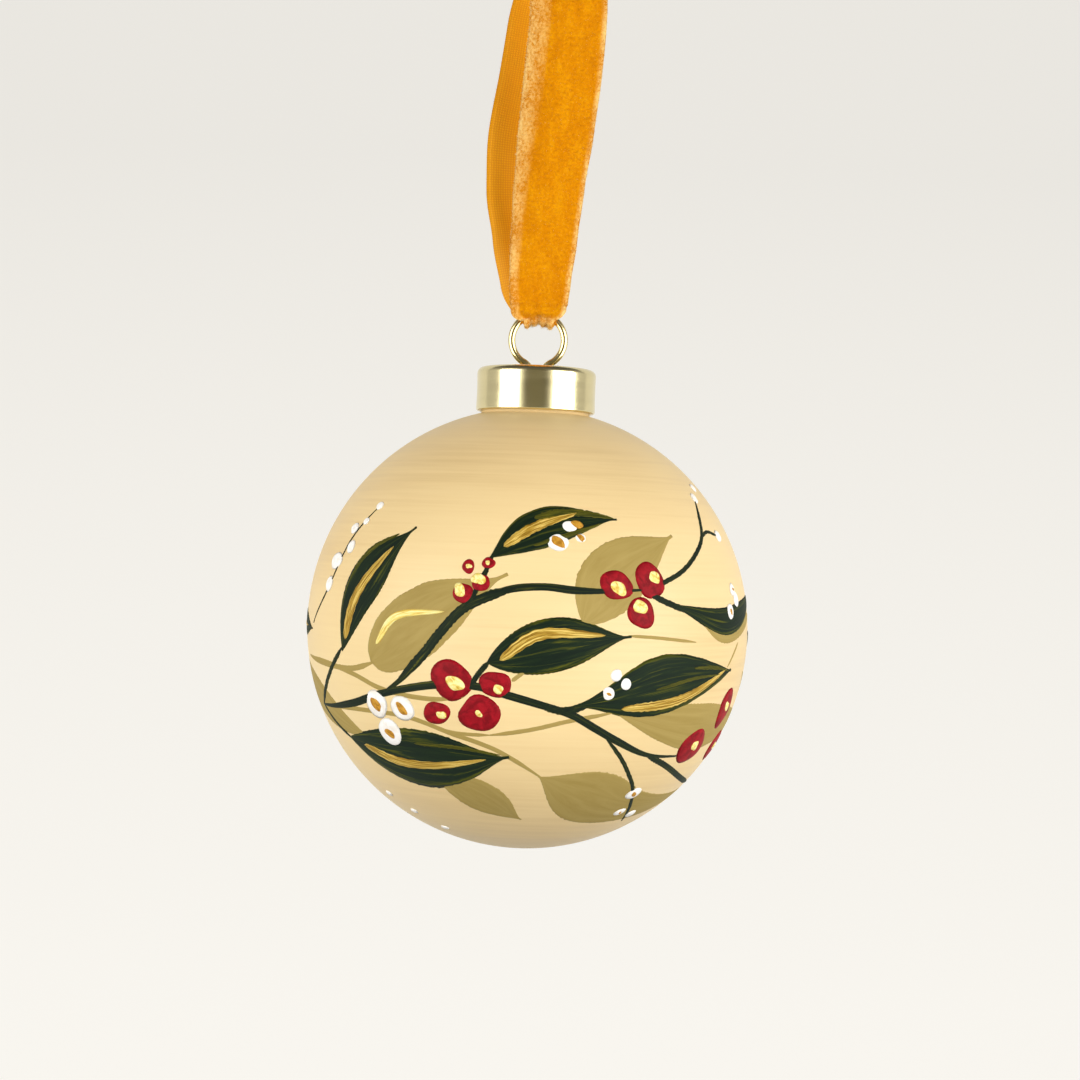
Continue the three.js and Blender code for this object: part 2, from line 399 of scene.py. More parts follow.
def skin(start, rows, size, closed=False):
    """Faces that join rows of points up, each row a closed ring; a closed skin's last row meets its first."""
    faces = []
    for i in range(rows if closed else rows - 1):
        low, high = start + i * size, start + (i + 1) % rows * size
        faces += [(low + j, high + j, high + (j + 1) % size, low + (j + 1) % size) for j in range(size)]
    return faces


def mesh_with_places(name, points, faces, places):
    """A mesh whose UV map holds a place for each of its points."""
    mesh = bpy.data.meshes.new(name)
    mesh.from_pydata([tuple(p) for p in points], [], faces)
    layer = mesh.uv_layers.new(name="UVMap")
    for loop in mesh.loops:
        layer.data[loop.index].uv = places[loop.vertex_index]
    return mesh


class PaintLayer:
    """Gathers strokes and dabs of one paint into a mesh. Each gets its own whole number in U."""

    def __init__(self, name):
        self.name = name
        self.points, self.faces, self.places = [], [], []
        self.count = 0
        self.random = random.Random(name)

    def add_rings(self, rings, ring_places):
        """Adds one closed blob of paint, skinned over rings of points."""
        start, size = len(self.points), len(rings[0])
        for ring, places in zip(rings, ring_places):
            self.points += ring
            self.places += [(u + self.count, v) for u, v in places]
        self.faces += skin(start, len(rings), size)
        self.faces.append(tuple(start + j for j in range(size)))
        self.faces.append(tuple(start + (len(rings) - 1) * size + j for j in reversed(range(size))))
        self.count += 1

    def stroke(self, places, half, lift, outline, steps=40, ragged=0.05):
        """A brush stroke along a line of places; its half width and its lift are in mm."""
        line = smooth_line(places, steps)
        seed = self.random.random() * 50
        rings, marks = [], []
        for i, point in enumerate(line):
            t = i / steps
            along = (line[min(i + 1, steps)] - line[max(i - 1, 0)]).normalized()
            aside = point.cross(along)
            share = max(outline(t), 0.02)
            shake = [1 + ragged * math.sin(seed + 23 * t + 2 * side) * math.sin(7 * t * seed)
                     for side in (0, 1)]
            ring, mark = [], []
            for layer in (1, 0):
                for j in range(STROKE_ACROSS + 1):
                    v = j / STROKE_ACROSS if layer else 1 - j / STROKE_ACROSS
                    if not layer and j in (0, STROKE_ACROSS):
                        continue
                    across = 2 * v - 1
                    edge = half * shake[across >= 0] * share
                    body = (1 - across ** 4) ** 0.5
                    high = SUNK + (lift - SUNK) * body if layer else SUNK * 1.5
                    place = (point * BALL_R + aside * across * edge * MM).normalized()
                    ring.append(BALL + place * (BALL_R + high * MM))
                    mark.append((0.02 + 0.96 * t, v))
            rings.append(ring)
            marks.append(mark)
        self.add_rings(rings, marks)

    def dab(self, lon, lat, wide, tall, lift, turn, ragged, sides=28, steps=5):
        """A round dab of thick paint: a low dome with an uneven edge. Sizes are radii in mm."""
        centre = facing(lon, lat)
        east = Vector((0, 0, 1)).cross(centre).normalized()
        north = centre.cross(east)
        a = math.radians(turn)
        right = east * math.cos(a) + north * math.sin(a)
        up = north * math.cos(a) - east * math.sin(a)
        waves = [(k, ragged / k * self.random.uniform(0.5, 1), self.random.uniform(0, 6.3))
                 for k in (2, 3, 4)]
        rings, marks = [], []
        top_levels = [(share, True) for share in (0.06, *(k / steps for k in range(1, steps + 1)))]
        levels = top_levels + [(0.5, False), (0.06, False)]
        for share, top in levels:
            ring, mark = [], []
            for k in range(sides):
                angle = 2 * math.pi * k / sides
                edge = 1 + sum(size * math.sin(n * angle + phase) for n, size, phase in waves)
                out = share * edge
                offset = right * math.cos(angle) * wide * out + up * math.sin(angle) * tall * out
                high = SUNK + (lift - SUNK) * (1 - share ** 3) ** 0.6 if top else SUNK * 1.5
                place = (centre * BALL_R + offset * MM).normalized()
                ring.append(BALL + place * (BALL_R + high * MM))
                mark.append((0.5 + 0.45 * share * math.cos(angle), 0.5 + 0.45 * share * math.sin(angle)))
            rings.append(ring)
            marks.append(mark)
        self.add_rings(rings, marks)

    def finish(self, material):
        """All of this paint as one piece on the ball."""
        mesh = mesh_with_places(self.name, self.points, self.faces, self.places)
        add_piece(self.name, mesh, material, "ball")


def paint_material(name, stops, roughness, along, across, bump_strength, edge):
    """Acrylic laid with a brush: bristle lines run along each stroke, in the stroke's own U and V. Edge
    moves the colour up the ramp towards the stroke's two edges, where the brush left less paint."""
    material, tree, shader = plain(name, stops[0][1], roughness, Specular_IOR_Level=0.11)
    marks = node(tree, "ShaderNodeUVMap")
    marks.uv_map = "UVMap"
    stretch = node(tree, "ShaderNodeMapping", Scale=(along, across, 1))
    bristles = node(tree, "ShaderNodeTexNoise", Scale=1.0, Detail=4, Roughness=0.65, Distortion=0.6)
    colour = ramp_node(tree, stops)
    bump = node(tree, "ShaderNodeBump", Strength=bump_strength, Distance=0.00008)
    split = node(tree, "ShaderNodeSeparateXYZ")
    off_middle = node(tree, "ShaderNodeMapRange", From_Min=0.5, From_Max=1.0, To_Min=0.0, To_Max=1.0)
    off_middle.clamp = False
    sharpen = maths(tree, "POWER", 4)
    add = maths(tree, "MULTIPLY_ADD", edge)
    join(tree,
         (marks, 0, stretch, 0),
         (stretch, 0, bristles, "Vector"),
         (marks, 0, split, 0),
         (split, "Y", off_middle, "Value"),
         (off_middle, 0, sharpen, 0),
         (sharpen, 0, add, 0),
         (bristles, "Fac", add, 2),
         (add, 0, colour, 0),
         (colour, 0, shader, "Base Color"),
         (bristles, "Fac", bump, "Height"),
         (bump, 0, shader, "Normal"))
    return material


# mm, how far each paint stands off the lacquer
TAN_LIFT = 0.03
STEM_LIFT = 0.09
LEAF_LIFT = 0.11
GOLD_LIFT = 0.17
BERRY_LIFT = 0.22
WHITE_LIFT = 0.24
CENTRE_LIFT = 0.33
DEGREES_PER_MM = math.degrees(MM / BALL_R)

# leaf: places down its middle from base to tip, half width in mm, where it is fullest, how pinched
# its base and its tip are
TAN_LEAVES = [
    ([(-41, -8), (-25, 3.6), (-5, 14.8)], 6.8, 0.40, 0.65, 1.5),
    ([(13.5, 3.6), (22.3, 15.5), (42, 26)], 6.5, 0.46, 0.8, 1.35),
    ([(23, -17.5), (57, -22.5), (93, -20)], 5.2, 0.48, 1.1, 1.1),
    ([(5, -36), (20, -42.5), (41, -48), (84, -43)], 7.8, 0.44, 1.5, 1.0),
    ([(-28, -37), (-14, -44), (0.5, -53)], 4.6, 0.5, 0.9, 1.2),
    ([(-101, -8), (-75, -18), (-49, -28)], 4.6, 0.5, 0.9, 0.9),
    ([(48, 4.2), (61, 2.4), (85, 5.8)], 2.7, 0.5, 0.9, 0.9),
]
TAN_STEMS = [
    ([(-76, -8.5), (-58, -10), (-48, -10), (-40, -8)], 0.55),
    ([(-76, -8.5), (-60, -9.5), (-48, -11.5), (-38, -14.5), (-24, -16), (-15, -15)], 0.5),
    ([(-8.5, -24.5), (2.5, -22.5), (12, -20), (24, -17.5)], 0.45),
    ([(-24, -23.5), (-17, -24.5), (-8.5, -24.5)], 0.4),
    ([(-66, -21), (-50, -20.5), (-32, -21), (-18, -25), (-8.5, -28), (-1, -32), (7, -37)], 0.5),
    ([(-3, -10.5), (0, -8)], 0.4),
    ([(25, 1), (34, 0.5), (46, -0.5)], 0.32),
    ([(68, -1), (62, -7)], 0.3),
]
STEMS = [
    ([(-71, -21), (-60, -20.5), (-50, -19), (-38, -15.5), (-23, -12.5), (-12.5, -12), (-4, -14), (4, -16),
      (12, -18.5), (19, -22), (26, -25.5), (37, -29.5), (50, -30.5)], 0.74),
    ([(-71, -21), (-60, -12), (-52, -5)], 0.52),
    ([(-38, -15.5), (-31, -11), (-25.5, -5.5), (-21, 0), (-15.5, 6), (-9, 9.5), (-2.5, 11.5), (4, 12),
      (11, 11.5), (20, 11.5), (30, 12)], 0.68),
    ([(-33, -12.5), (-25.5, -5.5), (-21, 0), (-15.5, 6), (-9, 9.5), (-2.5, 11.5)], 0.95),
    ([(-15.5, 6), (-14, 8), (-12, 11.5), (-9, 19)], 0.5),
    ([(-13, -12), (-11, -9), (-8.5, -6)], 0.5),
    ([(30, 12), (36, 14), (43, 17), (50, 21.5), (55.5, 26), (59.5, 32), (63.5, 37)], 0.46),
    ([(55.5, 26), (60, 27.5), (66, 26.5)], 0.35),
    ([(30, 12), (35, 9.5), (44, 6.6)], 0.6),
    ([(4, -16), (10, -17.5), (17, -15.5)], 0.75),
    ([(22, -24), (28.5, -30), (34, -35.5), (39, -40.5), (45, -48), (51, -55)], 0.4),
    ([(36, -29), (48, -33.5), (63, -38.5), (80, -41.5)], 0.6),
    ([(-71, -21), (-66, -25), (-58, -29.5)], 0.45),
    ([(-70, 0), (-61, 10), (-56, 22.5), (-49.5, 31.5)], 0.2),
]
# leaf as above, then the places and half width of its gold stroke
GREEN_LEAVES = [
    ([(-52, -6), (-47, 8), (-41, 17), (-32, 25.8)], 4.7, 0.46, 1.0, 1.5,
     [(-50.5, -3), (-47.2, 8), (-37.5, 20.5)], 1.3),
    ([(-10, 18.5), (3.5, 27), (24.5, 29.8)], 3.9, 0.50, 1.05, 1.5,
     [(-6.5, 21.5), (1.5, 27), (14, 31.4)], 1.1),
    ([(-9, -6.3), (7, -1.5), (25.8, 0.8)], 4.8, 0.46, 0.85, 1.5, [(-6, -5.6), (3.5, 0.8), (19, 1)], 1.2),
    ([(9, -16.8), (22, -14.5), (40, -10.5), (64.5, -7.8)], 5.8, 0.60, 1.7, 1.15,
     [(25, -16.8), (42, -14.8), (61, -7.4)], 1.05),
    ([(-59, -29), (-31, -33.2), (-3.5, -30.4)], 6.7, 0.50, 0.9, 1.35,
     [(-52, -30.5), (-35, -34.6), (-10, -31.4)], 1.15),
    ([(36, 8.8), (60, 4.4), (88, 10.5)], 2.7, 0.55, 1.1, 0.9, None, 0),
    ([(-98, 2), (-85, 0), (-71, -1.5)], 2.6, 0.5, 0.9, 1.2, [(-92, 1), (-84, -0.5), (-77, -1)], 0.4),
]
OLIVE_TOUCHES = [
    ([(-50, 14.5), (-45, 19.8), (-37, 23.8)], 0.6),
    ([(1, 29.3), (11, 31.2), (23.5, 30)], 0.95),
    ([(1, 22), (11, 25.4), (20, 28.6)], 0.5),
    ([(46, -6.8), (55, -6.9), (63, -8.0)], 0.4),
    ([(34, -12), (46, -9.5), (58, -8.6)], 0.4),
    ([(-31, -28.2), (-18, -28.4), (-6, -29.9)], 0.45),
]
TAN_GLINT = [(-39, -3.5), (-33, 3.5), (-20, 5.2)]
TAN_GLINT_HALF = 0.75
# dab: longitude, latitude, half width and half height in mm, turn in degrees, then its centre's
# offset and half width in mm
RED_BERRIES = [
    (-18, -11, 3.7, 3.7, 0, 0.7, -0.4, 1.95), (-7, -11.5, 2.8, 2.4, 0, 0.5, -0.7, 1.15),
    (-22.5, -19.5, 2.5, 2.2, 20, 0.9, -0.2, 1.1), (-11, -19, 3.7, 3.4, 0, -0.1, 0.1, 0.85),
    (22, 13, 3.1, 2.8, 0, 0.3, -0.5, 1.75), (31.5, 14.5, 2.8, 3.6, 20, 0.9, 0.4, 1.5),
    (28.5, 6.5, 2.8, 2.7, 0, -0.2, 0.9, 1.7), (-15, 16.3, 1.1, 1.3, 0, 0.1, 0, 0.65),
    (-10, 17.3, 1.1, 1.1, 0, -0.1, 0, 0.55), (-11.5, 12.5, 1.6, 1.7, 0, -0.3, 0.5, 1.4),
    (-15.7, 9.8, 1.8, 1.9, 0, -0.5, 0.4, 1.4), (56, -28, 3.9, 3.9, 0, 0.6, 0.2, 1.5),
    (68, -18, 3.2, 4, 0, 0.2, 0.4, 1.4), (75.5, -29, 3, 3.4, 0, 0, 0, 1.2),
]
# dab: as above, then the half width of its amber centre; no width is no white, no centre is plain
WHITE_BERRIES = [
    (-41, -18.5, 2.6, 2.7, 15, 1.95), (-32.5, -19, 2.6, 2.3, -25, 1.75), (-38.5, -26, 2.8, 2.8, 15, 1.6),
    (10.6, 27.4, 1.5, 1.2, 0, 0), (12.6, 28, 0, 0, 0, 1.35), (7.3, 23.2, 1.9, 1.7, 0, 1.7),
    (13.4, 24.5, 0.95, 0.8, 0, 0.95), (22.5, -8.5, 1.1, 1.1, 0, 0), (25.3, -10.6, 1.1, 1.2, 0, 0),
    (21, -13, 1.25, 1.25, 0, 0.6), (62.5, 6.8, 1.5, 1.6, 0, 0.9), (67.5, 9.8, 1.3, 1.5, 0, 0),
    (65.5, 12.4, 1.1, 1.2, 0, 0.6), (41, -42.5, 1.8, 1.4, 30, 1.0), (42, -50, 1.3, 1.0, 30, 0.6),
    (50.5, -51.5, 1.3, 1.1, 30, 0), (-49.7, 31.5, 0.95, 0.9, 0, 0), (-52.5, 27, 0.85, 0.75, 0, 0),
    (-57, 25, 1.3, 1.1, 0, 0), (-55, 20, 1.2, 1.35, 0, 0), (-60.5, 16.2, 2.3, 1.6, 0, 0),
    (-61.5, 10.2, 1.4, 1.5, 0, 0), (64, 37.5, 1.1, 1.2, 0, 0), (71, 41, 1, 1, 0, 0),
    (67, 26.5, 1.4, 1.2, 0, 0), (-59, -47.5, 1, 0.7, 0, 0), (-52.5, -54, 1, 0.7, 0, 0),
    (-43.5, -61.5, 1, 0.7, 0, 0),
]


tan = PaintLayer("tan_leaves")
green = PaintLayer("green_leaves")
stems = PaintLayer("green_stems")
olive = PaintLayer("olive_strokes")
gold = PaintLayer("gold_strokes")
red = PaintLayer("red_berries")
centres = PaintLayer("yellow_centres")
white = PaintLayer("white_berries")
amber = PaintLayer("amber_centres")


def paint_garland(turn, wander):
    """Paints the whole garland once, turned round the ball; wander shifts every place a little."""
    drift = random.Random(7)

    def moved(place):
        return place[0] + turn, place[1] + wander * math.sin(math.radians(place[0] * 2 + 40))

    def line(places):
        return [moved(place) for place in places]

    for places, half, fullest, base, tip in TAN_LEAVES:
        tan.stroke(line(places), half, TAN_LIFT, leaf_outline(fullest, base, tip), 48, 0.02)
    for places, half in TAN_STEMS:
        tan.stroke(line(places), half, TAN_LIFT, even_outline)
    centres.stroke(line(TAN_GLINT), TAN_GLINT_HALF, GOLD_LIFT, sliver_outline)
    for places, half in STEMS:
        stems.stroke(line(places), half, STEM_LIFT, even_outline, 60, 0.12)
    for places, half, fullest, base, tip, glint, glint_half in GREEN_LEAVES:
        green.stroke(line(places), half, LEAF_LIFT, leaf_outline(fullest, base, tip), 56, 0.02)
        if glint:
            gold.stroke(line(glint), glint_half, GOLD_LIFT, sliver_outline, 40, 0.12)
    for places, half in OLIVE_TOUCHES:
        olive.stroke(line(places), half, GOLD_LIFT, sliver_outline, 40, 0.2)
    for lon, lat, wide, tall, spin, off_x, off_y, size in RED_BERRIES:
        lon, lat = moved((lon, lat))
        red.dab(lon, lat, wide, tall, BERRY_LIFT, spin, 0.15)
        aside = off_x * DEGREES_PER_MM / math.cos(math.radians(lat))
        centres.dab(lon + aside, lat + off_y * DEGREES_PER_MM, size, size * 0.8, CENTRE_LIFT,
                    drift.uniform(-50, 10), 0.24, 24)
    for lon, lat, wide, tall, spin, size in WHITE_BERRIES:
        lon, lat = moved((lon, lat))
        if wide:
            white.dab(lon, lat, wide, tall, WHITE_LIFT, spin, 0.07, 22, 4)
        if size:
            amber.dab(lon, lat, size, size * 0.58, CENTRE_LIFT, drift.uniform(-55, -20), 0.2, 20, 4)


paint_garland(0, 0)
paint_garland(180, 3)
# layer, its colours, roughness, bristle scale along and across, surface and edge
PAINTS = [
    (tan, "tan_acrylic", [(0.3, (0.36, 0.26, 0.072)), (0.7, (0.43, 0.32, 0.10))], 0.6, 3, 9, 0.12, 0),
    (stems, "stem_acrylic", [(0.40, (0.005, 0.012, 0.007)), (0.58, (0.012, 0.022, 0.008)),
                             (0.72, (0.085, 0.085, 0.008))], 0.6, 4, 4, 0.5, 0.06),
    (green, "green_acrylic", [(0.42, (0.004, 0.012, 0.006)), (0.56, (0.008, 0.020, 0.007)),
                              (0.70, (0.085, 0.090, 0.006))], 0.6, 2.2, 13, 0.5, 0.12),
    (olive, "olive_acrylic", [(0.40, (0.030, 0.038, 0.005)), (0.62, (0.115, 0.105, 0.008))],
     0.6, 3, 8, 0.5, 0),
    (gold, "gold_acrylic", [(0.38, (0.21, 0.110, 0.010)), (0.50, (0.47, 0.285, 0.035)),
                            (0.62, (0.82, 0.62, 0.17))], 0.45, 3, 8, 0.5, 0),
    (red, "crimson_acrylic", [(0.38, (0.20, 0.002, 0.007)), (0.62, (0.37, 0.005, 0.014))],
     0.55, 5, 5, 0.5, 0),
    (centres, "yellow_acrylic", [(0.36, (0.68, 0.42, 0.05)), (0.48, (0.90, 0.75, 0.21)),
                                 (0.60, (0.95, 0.89, 0.42))], 0.45, 4, 4, 0.5, 0),
    (white, "white_acrylic", [(0.36, (0.90, 0.85, 0.77)), (0.54, (0.98, 0.97, 0.94))], 0.6, 4, 4, 0.25, 0),
    (amber, "amber_acrylic", [(0.40, (0.38, 0.17, 0.015)), (0.60, (0.64, 0.33, 0.04))], 0.45, 4, 4, 0.5, 0),
]
for layer, paint, stops, *finish in PAINTS:
    layer.finish(paint_material(paint, stops, *finish))


# ----------------------------------------------------------------------
# The cap. A shallow cup drawn from thin brass, polished and lacquered pale gold, mouth down over the
# glass neck. Its edge is rounded, its mouth is hemmed, and two holes in its top take the hanger.
# ----------------------------------------------------------------------
cap_low, cap_high = (Vector(corner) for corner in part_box("cap_shell"))
CAP_R = cap_high.x
CAP_TOP, CAP_MOUTH = cap_high.z, cap_low.z
CAP_SHEET = 0.5 * MM
CAP_EDGE_R = 1.2 * MM
CAP_HEM_R = 0.375 * MM
CAP_WAIST = 0.05 * MM
CAP_DISH = 0.08 * MM
CAP_SIDES = 160
DRILL_SIDES = 40
WIRE_R = 0.65 * MM
SHANK_X = 1.4 * MM
SHANK_HOLE_R = 0.95 * MM


def cap_profile():
    """(radius, height) points round the cap's sheet: hem, wall, edge, top, and back down inside."""
    corner_r, corner_z = CAP_R - CAP_EDGE_R, CAP_TOP - CAP_EDGE_R
    inner = CAP_R - CAP_SHEET
    outside = arc(CAP_R - CAP_HEM_R, CAP_MOUTH + CAP_HEM_R, CAP_HEM_R, -180, 0, 10)
    # the drawn wall is a hair narrower at its middle, as a pressed cup is
    wall = [(CAP_R - CAP_WAIST * math.sin(math.pi * k / 8), CAP_MOUTH + (0.9 + 0.72 * k) * MM)
            for k in range(1, 8)]
    edge = arc(corner_r, corner_z, CAP_EDGE_R, 0, 90, 10)
    plate = [(corner_r * 0.97, CAP_TOP), (corner_r * 0.93, CAP_TOP - 0.75 * CAP_DISH),
             (corner_r * 0.5, CAP_TOP - CAP_DISH), (0, CAP_TOP - CAP_DISH)]
    under = [(0, CAP_TOP - CAP_SHEET), (corner_r * 0.5, CAP_TOP - CAP_SHEET)]
    inside = arc(corner_r, corner_z, CAP_EDGE_R - CAP_SHEET, 90, 0, 6)
    hem = [(inner, CAP_MOUTH + 1.2 * MM), (CAP_R - 2 * CAP_HEM_R, CAP_MOUTH + 0.9 * MM)]
    return outside + wall + edge + plate + under + inside + hem


def drilled(mesh, holes, radius, depth):
    """The mesh with upright round holes cut through it at the given places."""
    body = bpy.data.objects.new("drilled_body", mesh)
    scene.collection.objects.link(body)
    drills = []
    for place in holes:
        ends = [(0, -depth), (radius, -depth), (radius, depth), (0, depth)]
        drill_mesh = turn_profile("drill", ends, DRILL_SIDES)
        drill_mesh.transform(Matrix.Translation(place))
        drill = bpy.data.objects.new("drill", drill_mesh)
        scene.collection.objects.link(drill)
        cut = body.modifiers.new("hole", "BOOLEAN")
        cut.operation = "DIFFERENCE"
        cut.solver = "EXACT"
        cut.object = drill
        drills.append(drill)
    result = bpy.data.meshes.new_from_object(body.evaluated_get(bpy.context.evaluated_depsgraph_get()))
    for spare in [body, *drills]:
        bpy.data.objects.remove(spare)
    return result


def brass_material(name, colour, roughness):
    """Polished brass with faint drawing lines round it and small variations in its lacquer."""
    material, tree, shader = plain(name, colour, roughness, Metallic=1)
    coord = node(tree, "ShaderNodeTexCoord")
    level = node(tree, "ShaderNodeMapping", Scale=(40, 40, 900))
    lines = node(tree, "ShaderNodeTexNoise", Scale=1.0, Detail=4, Roughness=0.6)
    rough = node(tree, "ShaderNodeMapRange", From_Min=0.35, From_Max=0.65, To_Min=roughness * 0.9,
                 To_Max=roughness * 1.12)
    tint = ramp_node(tree, [(0.35, tuple(c * 0.96 for c in colour)), (0.65, colour)])
    bump = node(tree, "ShaderNodeBump", Strength=0.02, Distance=0.00002)
    join(tree,
         (coord, "Object", level, 0),
         (level, 0, lines, "Vector"),
         (lines, "Fac", rough, "Value"),
         (lines, "Fac", tint, 0),
         (lines, "Fac", bump, "Height"),
         (rough, 0, shader, "Roughness"),
         (tint, 0, shader, "Base Color"),
         (bump, 0, shader, "Normal"))
    return material


cap_mesh = turn_profile("drawn_cap", cap_profile(), CAP_SIDES, closed=True)
cap_mesh = drilled(cap_mesh, [Vector((side * SHANK_X, 0, CAP_TOP)) for side in (-1, 1)], SHANK_HOLE_R, 2 * MM)
cap_brass = brass_material("cap_brass", (0.83, 0.73, 0.42), 0.19)
cap = add_piece("drawn_cap", cap_mesh, cap_brass, "cap")
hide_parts("cap_shell")


# ----------------------------------------------------------------------
# The hanger. One length of hard brass wire: a round loop above the cap, shanks that drop through the
# two holes, and legs that spring outwards inside the ball and hold the cap on. The legs are separate
# here because they close together as the cap is drawn out.
# ----------------------------------------------------------------------
loop_low, loop_high = (Vector(corner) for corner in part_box("hanger_loop"))
LOOP_R = 4.8 * MM
LOOP_FOOT = 0.45          # radians from the loop's lowest point, where it turns down into a shank
LOOP_Z = loop_high.z - WIRE_R - LOOP_R
LEG_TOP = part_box("spring_leg_left")[1][2]
LEG_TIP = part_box("spring_leg_left")[0][2]
LEG_SPREAD = 12.2 * MM


def smooth_through(knots, per_span):
    """Points along a smooth line through knots in space."""
    padded = [2 * knots[0] - knots[1], *knots, 2 * knots[-1] - knots[-2]]
    line = []
    for k in range(len(padded) - 3):
        line += [between(*padded[k:k + 4], i / per_span) for i in range(per_span)]
    return line + [knots[-1]]


def bent_wire(name, line, radius, sides):
    """Round wire along a line that lies in the XZ plane, with slightly rounded cut ends."""
    level = Vector((0, 1, 0))
    points, faces = [], []
    last = len(line) - 1
    rows = [(0, 0.0, -0.35), (0, 0.7, -0.25), *[(i, 1.0, 0.0) for i in range(last + 1)],
            (last, 0.7, 0.25), (last, 0.0, 0.35)]
    for i, share, push in rows:
        along = (line[min(i + 1, last)] - line[max(i - 1, 0)]).normalized()
        out = level.cross(along)
        centre = line[i] + along * push * radius
        for k in range(sides):
            a = 2 * math.pi * k / sides
            points.append(centre + (out * math.cos(a) + level * math.sin(a)) * radius * max(share, 0.01))
    for i in range(len(rows) - 1):
        for k in range(sides):
            n = (k + 1) % sides
            faces.append((i * sides + k, i * sides + n, (i + 1) * sides + n, (i + 1) * sides + k))
    faces.append(tuple(reversed(range(sides))))
    faces.append(tuple((len(rows) - 1) * sides + k for k in range(sides)))
    mesh = bpy.data.meshes.new(name)
    mesh.from_pydata([tuple(p) for p in points], [], faces)
    return mesh


def loop_line():
    """Up one shank, round the loop and down the other."""
    shank = [Vector((-SHANK_X, 0, loop_low.z)), Vector((-SHANK_X, 0, (loop_low.z + CAP_TOP) / 2)),
             Vector((-SHANK_X - 0.1 * MM, 0, CAP_TOP + 0.25 * MM))]
    sweep = 2 * math.pi - 2 * LOOP_FOOT
    around = [Vector((LOOP_R * math.cos(a), 0, LOOP_Z + LOOP_R * math.sin(a)))
              for a in (-math.pi / 2 - LOOP_FOOT - sweep * k / 24 for k in range(25))]
    other = [Vector((-p.x, 0, p.z)) for p in reversed(shank)]
    return smooth_through(shank + around + other, 5)


def leg_line(side):
    """From a hole in the cap, outwards and down, to a tip turned in a little."""
    shape = [(0, 0), (0.1, 0.14), (0.36, 0.4), (0.72, 0.7), (0.95, 0.9), (1, 0.97), (0.97, 1)]
    return smooth_through([Vector((side * (SHANK_X + (LEG_SPREAD - SHANK_X) * out), 0,
                                   LEG_TOP - (LEG_TOP - LEG_TIP - WIRE_R) * down)) for out, down in shape], 6)


wire_brass = brass_material("wire_brass", (0.80, 0.66, 0.33), 0.16)
loop_mesh = bent_wire("wire_loop", loop_line(), WIRE_R, 28)
hanger = add_piece("wire_loop", loop_mesh, wire_brass, "cap")
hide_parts("hanger_loop")
for side, word in ((-1, "left"), (1, "right")):
    name = f"sprung_leg_{word}"
    leg_mesh = bent_wire(name, leg_line(side), WIRE_R, 20)
    leg = add_piece(name, leg_mesh, wire_brass, f"leg_{word}")
    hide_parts(f"spring_leg_{word}")


# ----------------------------------------------------------------------
# The ribbon. One strip of amber cotton velvet, 16 mm wide, threaded through the wire loop with its
# pile outwards, gathered where it passes through, and its two ends drawn into an overhand knot. The
# pile is cut cotton, standing on a close woven back; the cut edges are bound by a woven selvedge.
# ----------------------------------------------------------------------
RIBBON_W = 16 * MM
RIBBON_T = 1.0 * MM
WIRE_TOP = LOOP_Z + LOOP_R
WRAP_R = WIRE_R + 0.9 * MM
ACROSS = 30
SWAY = 0.16 * MM          # how far the ribbon waves in and out along its length
KNOT_X = 2
KNOT_MIDDLE = Vector((KNOT_X, 0, 7.4)) * MM


def station(x, y, z, width, curl):
    """A place on the ribbon's middle line, its gathered width, and how far its edges roll outwards."""
    return Vector((x, y, z)) * MM, width * MM, curl / MM


def under_wire(turn, width, curl):
    """A station where the ribbon passes under the wire; turn is in radians from straight below it."""
    place = Vector((0, -WRAP_R * math.sin(turn), WIRE_TOP - WRAP_R * math.cos(turn)))
    return place, width * MM, curl / MM


LOOP_STATIONS = [
    station(2, -1.6, 2.2, 9, 0.10),
    station(2.4, -5.6, -2.5, 12, 0.03),
    station(3, -7, -10, 13.8, -0.02),
    station(3.4, -6.6, -18, 14.4, -0.06),
    station(2.8, -5.6, -28, 15, -0.08),
    station(1.95, -4.6, -38, 14.6, -0.08),
    station(1.05, -3.6, -48, 13.4, -0.07),
    station(0.45, -2.8, -57, 12.4, -0.05),
    station(0, -2.2, -65, 11.3, 0.02),
    station(-0.1, -2.0, -69.2, 10.7, 0.03),
    station(-0.1, -2.35, -70.8, 10.2, 0.05),
    under_wire(1.3, 7.0, 0.22),
    under_wire(0.65, 5.8, 0.28),
    under_wire(0, 5.2, 0.308),
    under_wire(-0.65, 5.8, 0.28),
    under_wire(-1.3, 7.2, 0.22),
    station(-0.3, 1.7, -69.8, 9.8, 0.12),
    station(-1.6, 2.2, -65, 11.6, 0.04),
    station(-2.7, 2.8, -57, 12.8, -0.02),
    station(-3.6, 3.6, -48, 14, -0.03),
    station(-3.2, 4.6, -38, 14.8, -0.03),
    station(-1.6, 5.6, -28, 15.2, -0.04),
    station(-0.5, 6.6, -18, 14.8, -0.03),
    station(0.6, 7, -10, 14, -0.02),
    station(1.5, 5.6, -2.5, 12, 0.03),
    station(2, 1.6, 2.2, 9, 0.10),
]


def tail_stations(side):
    """From the top of the knot to a cut end; side is -1 for the front tail and 1 for the back one."""
    return [
        station(KNOT_X + side * 0.4, side * 0.6, 10.5, 6, 0.10),
        station(KNOT_X + side * 1.4, side * 1.4, 14.0, 8, 0.09),
        station(KNOT_X + side * 3.6, side * 2.4, 18.0, 12, 0.05),
        station(KNOT_X + side * 7, side * 4.6, 22.6, 14.4, 0.02),
        station(KNOT_X + side * 10.2, side * 7.4, 27.8, 15.4, -0.02),
    ]


